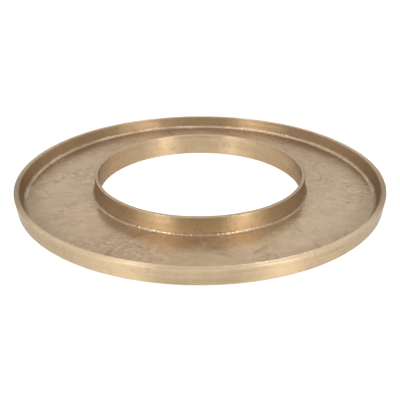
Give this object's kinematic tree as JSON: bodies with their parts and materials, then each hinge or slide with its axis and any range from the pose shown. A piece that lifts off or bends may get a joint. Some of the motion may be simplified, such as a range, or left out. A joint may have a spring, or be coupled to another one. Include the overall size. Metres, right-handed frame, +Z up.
{
  "type": "candle plate",
  "caption": "Ring-shaped metal candle tray with a low flared outer rim and a taller collar round a large centre opening.",
  "frame": {"origin": "centre of the plate, on the table under the felt pads", "axes": "+Z up along the ring's axis; seen from the picture's side, +X is to the right and +Y away from the viewer"},
  "size_m": [0.3989, 0.3988, 0.0247],
  "materials": {
    "cast_floor": "rough cast, antique brass coating",
    "satin_wall": "hand-polished satin, antique brass coating",
    "seam": "brazed seam, rubbed bright",
    "felt": "pressed wool felt"
  },
  "bodies": {
    "root": {"floor_plate": "cast_floor", "outer_rim": "satin_wall", "inner_collar": "satin_wall", "outer_seam_bead": "seam", "inner_seam_bead": "seam", "foot_pad_1": "felt", "foot_pad_2": "felt", "foot_pad_3": "felt", "foot_pad_4": "felt"}
  },
  "joints": []
}
